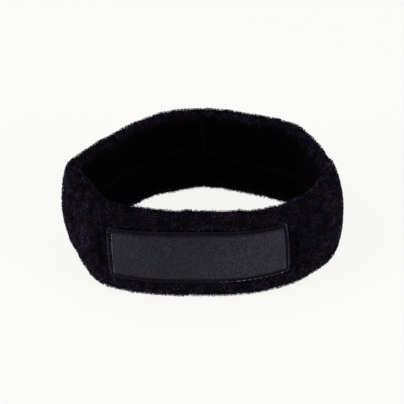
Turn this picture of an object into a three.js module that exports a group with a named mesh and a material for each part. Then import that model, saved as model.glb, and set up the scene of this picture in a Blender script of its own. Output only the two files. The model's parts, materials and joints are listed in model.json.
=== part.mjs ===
import * as THREE from 'three';

// A terry headband standing on its lower edge, in millimetres.
// X runs across the head, Y from the patch (-Y) to the back of the head (+Y), Z is up.
// Every piece is laid out flat, as it is cut and sewn, and is then wrapped round the band's plan:
//   s  distance along the band, from the middle of the patch, positive towards +X
//   n  distance out from the middle of the wall
//   z  height above the lower edge

// The band
const BAND_WIDTH = 153; // over the terry, temple to temple
const BAND_DEPTH = 133; // over the terry, front to back
const BAND_HEIGHT = 50; // the usual 2 inch sweatband
const WALL_THICKNESS = 8; // two layers of terry with the elastic between them
const WALL_BULGE = 3.5; // how far the wall bellies out at mid height
const EDGE_FLAT = 2; // width of the flat that each folded edge rests on

// The elastic inside it
const ELASTIC_INSET = 6; // from the band's edges: this leaves a 1.5 inch elastic
const ELASTIC_THICKNESS = 1.2;
const ELASTIC_ROOM = 0.9; // free space on each side of the elastic
const ELASTIC_END_ROOM = 1.5; // free space above and below it

// The patch on the front
const PANEL_LENGTH = 87;
const PANEL_INSET = 12; // from the band's edges to the panel's
const PANEL_THICKNESS = 0.5;
const BACKING_THICKNESS = 0.7;
const PATCH_RISE = 1; // how far the patch sits above the middle of the wall's height
const BORDER = 2.4; // from the panel's edge to the patch's outer edge
const BINDING_WIDTH = 1; // overlocked cord round the patch
const BINDING_HEIGHT = 1.4;
const RECESS = 1.3; // how far the sewn patch presses the terry in
const PINCH = 1.2; // depth of the pucker past each end of the patch

// Threads and seams
const THREAD_WIDTH = 0.6;
const THREAD_HEIGHT = 0.35;
const STITCH_LENGTH = 4.4;
const SEAM_WIDTH = 4; // overlocked seam along the inside
const SEAM_HEIGHT = 1.3;
const SEAM_LEVEL = -2.5; // where that seam lies from the middle of the wall's height
const SEAM_LEFT_END = 1; // and where its left end meets the join
const SEAM_RIGHT_END = -3; // and its right end
const SEAM_DIP = -6.5; // the lowest it wanders, on the right
const SEAM_DIP_AT = 45; // this far from the join
const SLIT = 0.6; // gap between the two turned edges that the seam closes
const JOIN_STITCH_REACH = 3; // how far the elastic's zigzag reaches each side of its join

// Clearances
const GAP = 0.3; // between neighbouring pieces
const THREAD_GAP = 0.15; // under a line of stitching
const CUT_GAP = 0.3; // between the front and back halves

// How finely the band is divided along its length
const STEP = 7.5;

// Sizes that follow from those above
const MIDDLE = BAND_HEIGHT / 2;
const ELASTIC_HEIGHT = BAND_HEIGHT - 2 * ELASTIC_INSET;
const PANEL_HEIGHT = BAND_HEIGHT - 2 * PANEL_INSET;
const PATCH_MIDDLE = MIDDLE + PATCH_RISE;
const WALL_OUT = WALL_THICKNESS / 2;
const EDGE_RADIUS = (WALL_THICKNESS - EDGE_FLAT) / 2;
const ROOM_OUT = ELASTIC_THICKNESS / 2 + ELASTIC_ROOM;
const PATCH_LENGTH = PANEL_LENGTH + 2 * BORDER;
const PATCH_HEIGHT = PANEL_HEIGHT + 2 * BORDER;
const BACKING_IN = WALL_OUT - RECESS + GAP;
const BACKING_OUT = BACKING_IN + BACKING_THICKNESS;
const PANEL_IN = BACKING_OUT + GAP;
const PANEL_OUT = PANEL_IN + PANEL_THICKNESS;

// The plan of the resting band, as shares of its half width and half depth.
// The front is a shallow arc, and the back runs nearly straight from a fold at each side to the join.
const PLAN_SHARES = [
  [0, -0.99],
  [0.37, -0.95],
  [0.69, -0.77],
  [0.93, -0.45],
  [1, -0.12],
  [0.935, 0.17],
  [0.74, 0.65],
  [0.4, 0.87],
  [0, 1],
  [-0.37, 0.86],
  [-0.67, 0.5],
  [-0.91, 0.15],
  [-1, -0.06],
  [-0.89, -0.44],
  [-0.72, -0.82],
  [-0.38, -0.97],
];

const planCurve = makePlanCurve();
const PLAN_LENGTH = planCurve.getLength();
const CENTRE_BACK = findCentreBack();
const SIDE_RIGHT = findSide(1);
const SIDE_LEFT = findSide(-1) - PLAN_LENGTH;

// ---------------------------------------------------------------- the plan

function makePlanCurve() {
  const across = (BAND_WIDTH - WALL_THICKNESS) / 2 - WALL_BULGE;
  const along = (BAND_DEPTH - WALL_THICKNESS) / 2 - WALL_BULGE;
  const corners = PLAN_SHARES.map(([x, y]) => new THREE.Vector3(x * across, y * along, 0));
  const curve = new THREE.CatmullRomCurve3(corners, true, 'centripetal');
  curve.arcLengthDivisions = 1600;
  return curve;
}

// The distance along the plan at which it reaches furthest to the right or left.
function findSide(direction) {
  let best = 0;
  let reach = -Infinity;
  for (let i = 0; i < 800; i += 1) {
    const s = (i / 800) * PLAN_LENGTH;
    const x = planCurve.getPointAt(i / 800).x * direction;
    if (x > reach) {
      reach = x;
      best = s;
    }
  }
  return best;
}

// The distance along the plan at which it crosses the middle of the back.
function findCentreBack() {
  let best = 0;
  let miss = Infinity;
  for (let i = 200; i < 600; i += 1) {
    const x = Math.abs(planCurve.getPointAt(i / 800).x);
    if (x < miss) {
      miss = x;
      best = (i / 800) * PLAN_LENGTH;
    }
  }
  return best;
}

// How far the wall stands out at this height.
function bulge(z) {
  const t = z / MIDDLE - 1;
  return WALL_BULGE * (1 - t * t);
}

function wrapped(s, n, z) {
  const share = (((s / PLAN_LENGTH) % 1) + 1) % 1;
  const at = planCurve.getPointAt(share);
  const along = planCurve.getTangentAt(share);
  const out = n + bulge(z);
  return new THREE.Vector3(at.x + along.y * out, at.y - along.x * out, z);
}

// ---------------------------------------------------------------- building solids

// Where a piece is divided along its length: every STEP, at its ends and at any extra places.
function stations(from, to, extra = []) {
  const fixed = [from, to, ...extra.filter((s) => s > from && s < to)];
  const list = [...fixed];
  for (let i = Math.ceil(from / STEP); i * STEP < to; i += 1) {
    const clear = fixed.every((s) => Math.abs(s - i * STEP) > 1);
    if (clear) list.push(i * STEP);
  }
  return list.sort((a, b) => a - b);
}

// A closed skin over rings of flat places { s, n, z }. Each ring's corners run the same way round.
function skin(rings, closed) {
  const count = rings[0].length;
  const places = [];
  const faces = [];
  for (const ring of rings) {
    for (const p of ring) places.push(...wrapped(p.s, p.n, p.z).toArray());
  }
  const spans = closed ? rings.length : rings.length - 1;
  for (let i = 0; i < spans; i += 1) {
    const here = i * count;
    const next = ((i + 1) % rings.length) * count;
    for (let j = 0; j < count; j += 1) {
      const k = (j + 1) % count;
      faces.push(here + j, next + j, next + k);
      faces.push(here + j, next + k, here + k);
    }
  }
  if (!closed) {
    faces.push(...cap(rings[0], 0, false));
    faces.push(...cap(rings[rings.length - 1], (rings.length - 1) * count, true));
  }
  const geometry = new THREE.BufferGeometry();
  geometry.setAttribute('position', new THREE.Float32BufferAttribute(places, 3));
  geometry.setIndex(faces);
  geometry.computeVertexNormals();
  return geometry;
}

// The end face of a strip, in the plane across the band.
function cap(ring, first, far) {
  const outline = ring.map((p) => new THREE.Vector2(p.n + bulge(p.z), p.z));
  const faces = [];
  for (const [a, b, c] of THREE.ShapeUtils.triangulateShape(outline, [])) {
    if (far) faces.push(first + a, first + c, first + b);
    else faces.push(first + a, first + b, first + c);
  }
  return faces;
}

// A strip with the section sectionAt(s), a list of [n, z], along the band.
function strip(list, sectionAt) {
  const rings = list.map((s) => sectionAt(s).map(([n, z]) => ({ s, n, z })));
  return skin(rings, false);
}

// A flat plate following the wall, divided in height as the terry's outer face is.
function plate(length, height, inner, outer) {
  const levels = [-0.5, -0.25, 0, 0.25, 0.5].map((share) => PATCH_MIDDLE + share * height);
  const section = [
    ...levels.map((z) => [outer, z]),
    ...levels.reverse().map((z) => [inner, z]),
  ];
  return strip(stations(-length / 2, length / 2), () => section);
}

// A cord laid as a rectangular frame, length by height, on the surface n = base.
function frameCord(length, height, width, base, heightAt, spacing) {
  const path = framePath(length, height, spacing);
  const rings = path.map((p, i) => {
    const tall = heightAt(i);
    const side = (share, n) => ({
      s: p.s + p.outS * share * width,
      n,
      z: p.z + p.outZ * share * width,
    });
    return [
      side(0.5, base),
      side(0.3, base + tall),
      side(-0.3, base + tall),
      side(-0.5, base),
    ];
  });
  return skin(rings, true);
}

// Evenly spaced places round a rectangle, anticlockwise seen from outside, with mitred corners.
function framePath(length, height, spacing) {
  const path = [];
  const right = length / 2;
  const top = height / 2;
  const across = 2 * Math.max(2, Math.round(length / spacing / 2));
  const up = 2 * Math.max(2, Math.round(height / spacing / 2));
  const sides = [
    { from: [-right, -top], to: [right, -top], out: [0, -1], count: across },
    { from: [right, -top], to: [right, top], out: [1, 0], count: up },
    { from: [right, top], to: [-right, top], out: [0, 1], count: across },
    { from: [-right, top], to: [-right, -top], out: [-1, 0], count: up },
  ];
  sides.forEach((side, index) => {
    const before = sides[(index + 3) % 4];
    for (let i = 0; i < side.count; i += 1) {
      const t = i / side.count;
      const corner = i === 0;
      path.push({
        s: side.from[0] + (side.to[0] - side.from[0]) * t,
        z: PATCH_MIDDLE + side.from[1] + (side.to[1] - side.from[1]) * t,
        outS: side.out[0] + (corner ? before.out[0] : 0),
        outZ: side.out[1] + (corner ? before.out[1] : 0),
      });
    }
  });
  return path;
}

function mesh(name, geometry, color, roughness) {
  const material = new THREE.MeshStandardMaterial({ color, roughness, metalness: 0 });
  const piece = new THREE.Mesh(geometry, material);
  piece.name = name;
  return piece;
}

// ---------------------------------------------------------------- terry sleeve

// How far the patch presses the outer face in, at full strength, at this distance along the band.
function pressAlong(s) {
  const past = Math.abs(s) - PATCH_LENGTH / 2;
  if (past <= 0.6) return RECESS;
  const places = [0.6, 2.2, 3.8, 5.8];
  const depths = [RECESS, RECESS * 0.3, PINCH, 0];
  for (let i = 1; i < places.length; i += 1) {
    if (past <= places[i]) {
      const t = (past - places[i - 1]) / (places[i] - places[i - 1]);
      return THREE.MathUtils.lerp(depths[i - 1], depths[i], t);
    }
  }
  return 0;
}

// The height of the closing seam, which wanders on each side of the join at the centre back.
function seamHeight(s) {
  const lerp = THREE.MathUtils.lerp;
  const smooth = THREE.MathUtils.smoothstep;
  const past = (s < 0 ? s + PLAN_LENGTH : s) - CENTRE_BACK;
  const off = Math.abs(past);
  if (off < 0.01) return MIDDLE + (SEAM_LEFT_END + SEAM_RIGHT_END) / 2;
  if (past > 0) return MIDDLE + lerp(SEAM_LEFT_END, SEAM_LEVEL, smooth(off, 0, 60));
  if (off < SEAM_DIP_AT) return MIDDLE + lerp(SEAM_RIGHT_END, SEAM_DIP, smooth(off, 0, SEAM_DIP_AT));
  return MIDDLE + lerp(SEAM_DIP, SEAM_LEVEL, smooth(off, SEAM_DIP_AT, 2 * SEAM_DIP_AT));
}

// The folded terry: a C whose two turned edges meet part way up the inside.
function terrySection(s) {
  const low = EDGE_RADIUS;
  const high = BAND_HEIGHT - EDGE_RADIUS;
  const press = pressAlong(s);
  const reach = PATCH_HEIGHT / 2;
  const turn = EDGE_FLAT / 2;
  const slitLow = seamHeight(s) - SLIT / 2;
  const slitHigh = seamHeight(s) + SLIT / 2;
  const corner = (side, level, from) =>
    [0, 45, 90].map((degrees) => {
      const a = THREE.MathUtils.degToRad(from + degrees);
      return [side * turn + EDGE_RADIUS * Math.cos(a), level + EDGE_RADIUS * Math.sin(a)];
    });
  const outerFace = [
    [WALL_OUT, PATCH_MIDDLE - reach - 2.4],
    [WALL_OUT - press, PATCH_MIDDLE - reach - 0.6],
    [WALL_OUT - press, PATCH_MIDDLE - reach / 2],
    [WALL_OUT - press, PATCH_MIDDLE],
    [WALL_OUT - press, PATCH_MIDDLE + reach / 2],
    [WALL_OUT - press, PATCH_MIDDLE + reach + 0.6],
    [WALL_OUT, PATCH_MIDDLE + reach + 2.4],
  ];
  const roomTop = MIDDLE + ELASTIC_HEIGHT / 2 + ELASTIC_END_ROOM;
  const roomLow = MIDDLE - ELASTIC_HEIGHT / 2 - ELASTIC_END_ROOM;
  const half = (roomTop - MIDDLE) / 2;
  return [
    [-WALL_OUT, slitLow],
    [-WALL_OUT, MIDDLE - reach * 0.75],
    ...corner(-1, low, 180),
    ...corner(1, low, 270),
    ...outerFace,
    ...corner(1, high, 0),
    ...corner(-1, high, 90),
    [-WALL_OUT, MIDDLE + reach * 0.75],
    [-WALL_OUT, slitHigh],
    [-ROOM_OUT, slitHigh],
    [-ROOM_OUT, MIDDLE + half],
    [-ROOM_OUT, roomTop],
    [ROOM_OUT, roomTop],
    [ROOM_OUT, MIDDLE + half],
    [ROOM_OUT, MIDDLE],
    [ROOM_OUT, MIDDLE - half],
    [ROOM_OUT, roomLow],
    [-ROOM_OUT, roomLow],
    [-ROOM_OUT, MIDDLE - half],
    [-ROOM_OUT, slitLow],
  ];
}

const FRONT_FROM = SIDE_LEFT + CUT_GAP / 2;
const FRONT_TO = SIDE_RIGHT - CUT_GAP / 2;
const BACK_FROM = SIDE_RIGHT + CUT_GAP / 2;
const BACK_TO = SIDE_LEFT + PLAN_LENGTH - CUT_GAP / 2;

function frontSleeve() {
  const ends = [0.6, 2.2, 3.8, 5.8].map((past) => PATCH_LENGTH / 2 + past);
  const extra = ends.flatMap((s) => [-s, s]);
  return strip(stations(FRONT_FROM, FRONT_TO, extra), terrySection);
}

// The back pieces share these divisions, so that what lies on them follows the same curve.
const JOIN_STATIONS = [CENTRE_BACK - JOIN_STITCH_REACH, CENTRE_BACK, CENTRE_BACK + JOIN_STITCH_REACH];

function backSleeve() {
  return strip(stations(BACK_FROM, BACK_TO, JOIN_STATIONS), terrySection);
}

// ---------------------------------------------------------------- elastic

function elasticSection() {
  const out = ELASTIC_THICKNESS / 2;
  const levels = [-0.5, -0.25, 0, 0.25, 0.5].map((share) => MIDDLE + share * ELASTIC_HEIGHT);
  return [...levels.map((z) => [out, z]), ...levels.reverse().map((z) => [-out, z])];
}

function frontElastic() {
  return strip(stations(FRONT_FROM, FRONT_TO), elasticSection);
}

function backElastic() {
  return strip(stations(BACK_FROM, BACK_TO, JOIN_STATIONS), elasticSection);
}

// Zigzag stitching over the elastic's lapped ends, on its inner side at the centre back. Each ring
// lies level at a turn, which is the mitre between the two legs that meet there.
function elasticStitching() {
  const turns = 9;
  const tall = ELASTIC_HEIGHT - 8;
  const rise = tall / (turns - 1);
  const reach = JOIN_STITCH_REACH - 0.6;
  const half = (THREAD_WIDTH / 2) * (Math.hypot(2 * reach, rise) / rise);
  const near = -ELASTIC_THICKNESS / 2 - GAP;
  const far = near - THREAD_HEIGHT;
  const rings = [];
  for (let i = 0; i < turns; i += 1) {
    const s = CENTRE_BACK + (i % 2 ? reach : -reach);
    const z = MIDDLE - tall / 2 + rise * i;
    rings.push([
      { s: s - half, n: near, z },
      { s: s - half, n: far, z },
      { s: s + half, n: far, z },
      { s: s + half, n: near, z },
    ]);
  }
  return threadSkin(rings);
}

// A thread that climbs the wall: the rings run upwards instead of along the band.
function threadSkin(rings) {
  const geometry = skin(rings, true);
  const index = Array.from(geometry.index.array);
  const count = rings[0].length;
  const last = (rings.length - 1) * count;
  const kept = index.slice(0, (rings.length - 1) * count * 6);
  for (let j = 1; j < count - 1; j += 1) {
    kept.push(0, j, j + 1);
    kept.push(last, last + j + 1, last + j);
  }
  geometry.setIndex(kept);
  geometry.computeVertexNormals();
  return geometry;
}

// ---------------------------------------------------------------- inside seams

// The overlocked ridge that closes the sleeve.
function seamSection(s) {
  const near = -WALL_OUT - GAP;
  const z = seamHeight(s);
  return [
    [near, z - SEAM_WIDTH / 2],
    [near, z + SEAM_WIDTH / 2],
    [near - SEAM_HEIGHT * 0.7, z + SEAM_WIDTH * 0.32],
    [near - SEAM_HEIGHT, z],
    [near - SEAM_HEIGHT * 0.7, z - SEAM_WIDTH * 0.32],
  ];
}

const JOIN_CLEAR = SEAM_WIDTH / 2 + GAP;

function frontClosingSeam() {
  return strip(stations(FRONT_FROM, FRONT_TO), seamSection);
}

function backRightClosingSeam() {
  return strip(stations(BACK_FROM, CENTRE_BACK - JOIN_CLEAR), seamSection);
}

function backLeftClosingSeam() {
  return strip(stations(CENTRE_BACK + JOIN_CLEAR, BACK_TO), seamSection);
}

// The overlocked seam up the centre back, where the two ends of the terry are joined.
function backJoinSeam() {
  const near = -WALL_OUT - GAP;
  const tall = BAND_HEIGHT - 2 * EDGE_RADIUS - 1;
  const rings = [];
  for (let i = 0; i <= 6; i += 1) {
    const z = MIDDLE - tall / 2 + (tall * i) / 6;
    const at = (share, height) => ({
      s: CENTRE_BACK + share * SEAM_WIDTH,
      n: near - height * SEAM_HEIGHT,
      z,
    });
    rings.push([at(-0.5, 0), at(-0.32, 0.7), at(0, 1), at(0.32, 0.7), at(0.5, 0)]);
  }
  return threadSkin(rings);
}

// ---------------------------------------------------------------- patch

function patchBacking() {
  const inset = 2 * (BINDING_WIDTH + GAP);
  return plate(PATCH_LENGTH - inset, PATCH_HEIGHT - inset, BACKING_IN, BACKING_OUT);
}

function patchPanel() {
  return plate(PANEL_LENGTH, PANEL_HEIGHT, PANEL_IN, PANEL_OUT);
}

function patchBinding() {
  const length = PATCH_LENGTH - BINDING_WIDTH;
  const height = PATCH_HEIGHT - BINDING_WIDTH;
  return frameCord(length, height, BINDING_WIDTH, BACKING_IN, () => BINDING_HEIGHT, STEP * 0.6);
}

// Stitches rise and dip along their thread.
function stitchHeight(i) {
  return i % 2 ? THREAD_HEIGHT : THREAD_HEIGHT * 0.4;
}

// The line that sews the patch to the band, in the groove between the panel and the binding.
function patchSewingLine() {
  const inset = BORDER - BINDING_WIDTH;
  const length = PANEL_LENGTH + inset;
  const height = PANEL_HEIGHT + inset;
  const base = BACKING_OUT + THREAD_GAP;
  return frameCord(length, height, THREAD_WIDTH, base, stitchHeight, STITCH_LENGTH / 2);
}

// The line that holds the panel to its backing, just inside the panel's edge.
function panelStitching() {
  const length = PANEL_LENGTH - 2;
  const height = PANEL_HEIGHT - 2;
  const base = PANEL_OUT + THREAD_GAP;
  return frameCord(length, height, THREAD_WIDTH, base, stitchHeight, STITCH_LENGTH / 2);
}

// ---------------------------------------------------------------- assembly

const BLACK_TERRY = 0x1a1820;
const BLACK_THREAD = 0x1c1b22;
const GREY_PANEL = 0x3a3843;

const front = new THREE.Group();
front.add(
  mesh('terry_sleeve_front', frontSleeve(), BLACK_TERRY, 0.95),
  mesh('elastic_strip_front', frontElastic(), 0x26252b, 0.7),
  mesh('closing_seam_front', frontClosingSeam(), BLACK_THREAD, 0.85),
  mesh('patch_backing', patchBacking(), 0x17161d, 0.85),
  mesh('patch_panel', patchPanel(), GREY_PANEL, 0.6),
  mesh('patch_edge_binding', patchBinding(), 0x24232c, 0.7),
  mesh('patch_sewing_line', patchSewingLine(), 0x4a4854, 0.6),
  mesh('panel_edge_stitching', panelStitching(), 0x55535f, 0.6),
);

const back = new THREE.Group();
back.add(
  mesh('terry_sleeve_back', backSleeve(), BLACK_TERRY, 0.95),
  mesh('elastic_strip_back', backElastic(), 0x26252b, 0.7),
  mesh('elastic_join_stitching', elasticStitching(), BLACK_THREAD, 0.7),
  mesh('closing_seam_back_right', backRightClosingSeam(), BLACK_THREAD, 0.85),
  mesh('closing_seam_back_left', backLeftClosingSeam(), BLACK_THREAD, 0.85),
  mesh('centre_back_join_seam', backJoinSeam(), BLACK_THREAD, 0.85),
);

// The box round the whole band is centred over the origin.
const headband = new THREE.Group();
headband.add(front, back);
const box = new THREE.Box3().setFromObject(headband, true);
headband.position.set(-(box.min.x + box.max.x) / 2, -(box.min.y + box.max.y) / 2, 0);

export default headband;
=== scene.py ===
import json
import math

import bmesh
import bpy
import numpy as np
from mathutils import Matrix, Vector

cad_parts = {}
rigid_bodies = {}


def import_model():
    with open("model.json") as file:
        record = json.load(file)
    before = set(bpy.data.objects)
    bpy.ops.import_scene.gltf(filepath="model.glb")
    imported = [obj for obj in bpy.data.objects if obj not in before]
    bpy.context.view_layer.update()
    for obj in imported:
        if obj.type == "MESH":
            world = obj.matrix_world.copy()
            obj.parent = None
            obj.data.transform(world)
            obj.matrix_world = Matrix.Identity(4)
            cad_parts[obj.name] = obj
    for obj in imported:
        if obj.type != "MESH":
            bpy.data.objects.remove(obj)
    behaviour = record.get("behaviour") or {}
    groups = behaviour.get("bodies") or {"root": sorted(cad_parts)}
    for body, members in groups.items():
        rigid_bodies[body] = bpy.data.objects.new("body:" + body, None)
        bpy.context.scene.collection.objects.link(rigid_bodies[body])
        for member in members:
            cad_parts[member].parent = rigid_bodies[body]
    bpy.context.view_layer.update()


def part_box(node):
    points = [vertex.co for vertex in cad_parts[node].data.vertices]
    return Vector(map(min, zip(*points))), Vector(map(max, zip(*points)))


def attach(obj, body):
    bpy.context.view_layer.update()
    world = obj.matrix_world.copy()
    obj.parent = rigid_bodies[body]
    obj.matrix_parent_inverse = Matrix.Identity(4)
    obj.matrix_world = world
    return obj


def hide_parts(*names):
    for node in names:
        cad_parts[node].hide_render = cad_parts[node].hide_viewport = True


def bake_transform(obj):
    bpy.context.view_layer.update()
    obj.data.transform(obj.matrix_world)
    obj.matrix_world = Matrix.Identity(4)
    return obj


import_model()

# ------------------------------------------------------------------ sizes, in millimetres
WIDTH, DEPTH, HEIGHT = 153.0, 133.0, 50.0
WALL, BULGE = 8.0, 3.5
MIDDLE = HEIGHT / 2

# the terry: loops of yarn standing on a knitted ground
LOOP_HEIGHT, LOOP_SPACING, YARN = 0.95, 1.1, 0.2
CLOTH_OUT = WALL / 2 - 0.45   # outer side of the knitted ground
CLOTH_IN = 1.5                # its inner side, next to the elastic
CLOTH_COLUMNS = 420
FOLD = 4.1                    # height of the soft fold at each edge
FURROW_DEPTH, FURROW_WIDTH = 0.7, 1.1
ABOVE_TABLE = 0.0006          # metres the ground keeps clear of the table under its loops
FLAT_ON_TABLE = 0.00003       # metres: no loop goes lower
BARE_AT_SEAM, BARE_AT_JOIN = 1.7, 1.9

# the wall's slow wander, and how its sides and upper fold depart from it
CALM_AT_PATCH, CALM_FADE = 46.0, 30.0
RIGHT_LEAN, LEFT_LEAN, LEAN_REACH = 1.5, 1.3, 28.0  # right side's top and left side's foot lean in
RIM_RISE, RIM_DIP = 0.8, 1.0  # the upper fold rises left of the patch's middle and dips by its right end

# the seams inside: a ridge, rooted a little way into the cloth
SEAM_LEVEL, SEAM_LEFT_END, SEAM_RIGHT_END = -2.5, 1.0, -3.0
SEAM_DIP, SEAM_DIP_AT = -6.5, 45.0
SEAM_HALF_WIDTH, SEAM_RISE, SEAM_STOPS = 1.8, 0.95, 2.4
JOIN_HALF_WIDTH, JOIN_RISE, JOIN_STOPS = 1.9, 0.9, 3.6
RIDGE_BASE, RIDGE_ROOT = -CLOTH_OUT - 0.05, 0.35

# the elastic and the zigzag over its lapped ends
ELASTIC_LOW, ELASTIC_HIGH, ELASTIC_ROWS = 6.0, 44.0, 25
ELASTIC_HALF, ELASTIC_CORDING = 0.5, 0.1
ZIGZAG_HALF, ZIGZAG_TURNS, ZIGZAG_LOW, ZIGZAG_HIGH = 2.3, 13, 9, 41

# the patch
PANEL_LENGTH, PANEL_HEIGHT, BORDER = 87.0, 26.0, 2.4
PATCH_LENGTH = PANEL_LENGTH + 2 * BORDER
PATCH_HEIGHT = PANEL_HEIGHT + 2 * BORDER
PATCH_MIDDLE = MIDDLE + 1.0
RECESS, PINCH = 1.3, 1.5
PUCKER_AT, SECOND_PUCKER_AT = 3.9, 8.0  # how far past each end the cloth puckers
BACKING_IN = WALL / 2 - RECESS + 0.3
BACKING_OUT = BACKING_IN + 0.7
PANEL_IN = BACKING_OUT + 0.1
PANEL_OUT = BACKING_OUT + 0.8
BACKING_TUCKED = 1.4          # the backing's edges stop under the binding
RIB_PITCH, WEFT_PITCH = 0.55, 0.4
CORD_CORNERS = 10
CORD_STEP, CLOTH_STEP = 0.5, 0.5
SOFT_EDGE = 0.35

# how the patch was sewn on
SEWN_ASIDE = -1.05            # a little to the left
SEWN_LIFT = (-1.1, 0.8)       # how far its left and right ends rose
SEWN_SLANT = (0.0011, -0.0012)  # how far out of square each end is, per mm up and along
SEWN_NARROWING = 0.05         # its ends are drawn in by this share of their height

# the plan of the resting band, as shares of its half width and half depth
PLAN = [
    (0, -0.99), (0.37, -0.95), (0.69, -0.77), (0.93, -0.45), (1, -0.12), (0.935, 0.17),
    (0.74, 0.65), (0.4, 0.87), (0, 1), (-0.37, 0.86), (-0.67, 0.5), (-0.91, 0.15),
    (-1, -0.06), (-0.89, -0.44), (-0.72, -0.82), (-0.38, -0.97),
]
PLAN_STEPS = 240  # between each two of these


# ------------------------------------------------------------------ the band's plan
def plan_table():
    """Points of the closed plan and the distance round it to each."""
    half = np.array([(WIDTH - WALL) / 2 - BULGE, (DEPTH - WALL) / 2 - BULGE])
    p = np.array(PLAN, float) * half
    out = []
    for i in range(len(p)):
        p0, p1, p2, p3 = p[i - 1], p[i], p[(i + 1) % len(p)], p[(i + 2) % len(p)]
        d0, d1, d2 = (np.linalg.norm(b - a) ** 0.5 for a, b in ((p0, p1), (p1, p2), (p2, p3)))
        m1 = ((p1 - p0) / d0 - (p2 - p0) / (d0 + d1) + (p2 - p1) / d1) * d1
        m2 = ((p2 - p1) / d1 - (p3 - p1) / (d1 + d2) + (p3 - p2) / d2) * d1
        t = np.linspace(0, 1, PLAN_STEPS, endpoint=False)[:, None]
        out.append(p1 + m1 * t + (3 * (p2 - p1) - 2 * m1 - m2) * t**2
                   + (2 * (p1 - p2) + m1 + m2) * t**3)
    out = np.vstack(out)
    run = np.r_[0, np.cumsum(np.linalg.norm(np.roll(out, -1, 0) - out, axis=1))]
    return out, run


PLAN_POINTS, PLAN_RUN = plan_table()
GIRTH = PLAN_RUN[-1]
PLAN_CLOSED = np.vstack([PLAN_POINTS, PLAN_POINTS[:1]])


def centre_back():
    """Distance round the plan at which the back crosses the middle."""
    before, after = PLAN_POINTS[:-1], PLAN_POINTS[1:]
    return PLAN_RUN[np.where((before[:, 0] > 0) & (after[:, 0] <= 0) & (after[:, 1] > 0))[0][0]]


CENTRE_BACK = centre_back()
SIDE_RIGHT = PLAN_RUN[PLAN_POINTS[:, 0].argmax()]
SIDE_LEFT = PLAN_RUN[PLAN_POINTS[:, 0].argmin()]
back_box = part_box("terry_sleeve_back")
SHIFT = np.array([(back_box[0][0] + back_box[1][0]) * 500,
                  back_box[1][1] * 1000 - PLAN_POINTS[:, 1].max() - WALL / 2 - BULGE])


def on_plan(s):
    s = np.mod(s, GIRTH)
    return np.stack([np.interp(s, PLAN_RUN, PLAN_CLOSED[:, k]) for k in (0, 1)], -1)


def plan_at(s):
    """Point and outward normal at distances s from the middle of the front."""
    s = np.mod(s, GIRTH)
    along = on_plan(s + 1.0) - on_plan(s - 1.0)
    along /= np.linalg.norm(along, axis=-1, keepdims=True)
    return on_plan(s), np.stack([along[..., 1], -along[..., 0]], -1)


def wrap(s, n, z):
    """Places in metres for flat ones in millimetres: s along the band, n out of its wall, z up."""
    s, n, z = np.broadcast_arrays(np.asarray(s, float), n, z)
    at, out = plan_at(s)
    reach = n + BULGE * (1 - (z / MIDDLE - 1) ** 2) + sway(s, z)
    xy = at + out * reach[..., None] + SHIFT
    return np.concatenate([xy, z[..., None]], -1) / 1000


def ripple(s, z, waves):
    """A smooth wander that closes on itself round the band: waves of (turns, per mm up, size, start)."""
    out = 0.0
    for turns, up, size, start in waves:
        out = out + size * np.sin(2 * math.pi * (turns * s / GIRTH + up * z) + start)
    return out


def bump(x, centre, width):
    """One at the centre, falling away to nothing over the width."""
    return np.exp(-((x - centre) / width) ** 2)


def smooth_step(a, b, x):
    """From nought at a to one at b, level at both."""
    t = np.clip((x - a) / (b - a), 0, 1)
    return t * t * (3 - 2 * t)


def round_gap(s, centre):
    """Signed distance from s to centre the short way round."""
    return np.mod(s - centre + GIRTH / 2, GIRTH) - GIRTH / 2


def sway(s, z):
    """The whole wall's slow wander in and out, none of it at the patch, and the lean of its sides."""
    away = np.clip((np.abs(round_gap(s, 0)) - CALM_AT_PATCH) / CALM_FADE, 0, 1)
    slow = ripple(s, z, [(5, 0.004, 0.5, 0.4), (8, -0.006, 0.35, 2.1), (13, 0.011, 0.22, 4.0)])
    at_right = RIGHT_LEAN * bump(round_gap(s, SIDE_RIGHT), 0, LEAN_REACH)
    at_left = LEFT_LEAN * bump(round_gap(s, SIDE_LEFT), 0, LEAN_REACH)
    top_in = at_right * smooth_step(MIDDLE - 5, HEIGHT, z)
    foot_in = at_left * smooth_step(MIDDLE + 5, 0, z)
    return slow * away - top_in - foot_in


def seam_height(s):
    """Height of the closing seam, which wanders on each side of the join at the centre back."""
    past = round_gap(s, CENTRE_BACK)
    off = np.abs(past)
    left = SEAM_LEFT_END + (SEAM_LEVEL - SEAM_LEFT_END) * smooth_step(0, 60, off)
    right = SEAM_RIGHT_END + (SEAM_DIP - SEAM_RIGHT_END) * smooth_step(0, SEAM_DIP_AT, off)
    right = right + (SEAM_LEVEL - SEAM_DIP) * smooth_step(SEAM_DIP_AT, 2 * SEAM_DIP_AT, off)
    blend = np.clip(past / 3 + 0.5, 0, 1)
    return MIDDLE + right + (left - right) * blend + ripple(s, 0, [(23, 0, 0.25, 1.0)])


# ------------------------------------------------------------------ mesh helpers
def new_mesh(name, verts, faces):
    """A smooth closed mesh with its faces outwards."""
    me = bpy.data.meshes.new(name)
    me.from_pydata([tuple(v) for v in verts], [], faces)
    me.validate()
    bm = bmesh.new()
    bm.from_mesh(me)
    if bm.calc_volume(signed=True) < 0:
        bmesh.ops.reverse_faces(bm, faces=bm.faces)
    bm.to_mesh(me)
    bm.free()
    me.polygons.foreach_set("use_smooth", [True] * len(me.polygons))
    ob = bpy.data.objects.new(name, me)
    bpy.context.scene.collection.objects.link(ob)
    return ob


def grid_faces(rings, count, close_rings, close_count):
    """Quads over rings x count points."""
    i = np.arange(rings if close_rings else rings - 1)
    j = np.arange(count if close_count else count - 1)
    a, b = np.meshgrid(i, j, indexing="ij")
    a2, b2 = (a + 1) % rings, (b + 1) % count
    quads = np.stack([a * count + b, a2 * count + b, a2 * count + b2, a * count + b2], -1)
    return quads.reshape(-1, 4).tolist()


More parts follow.
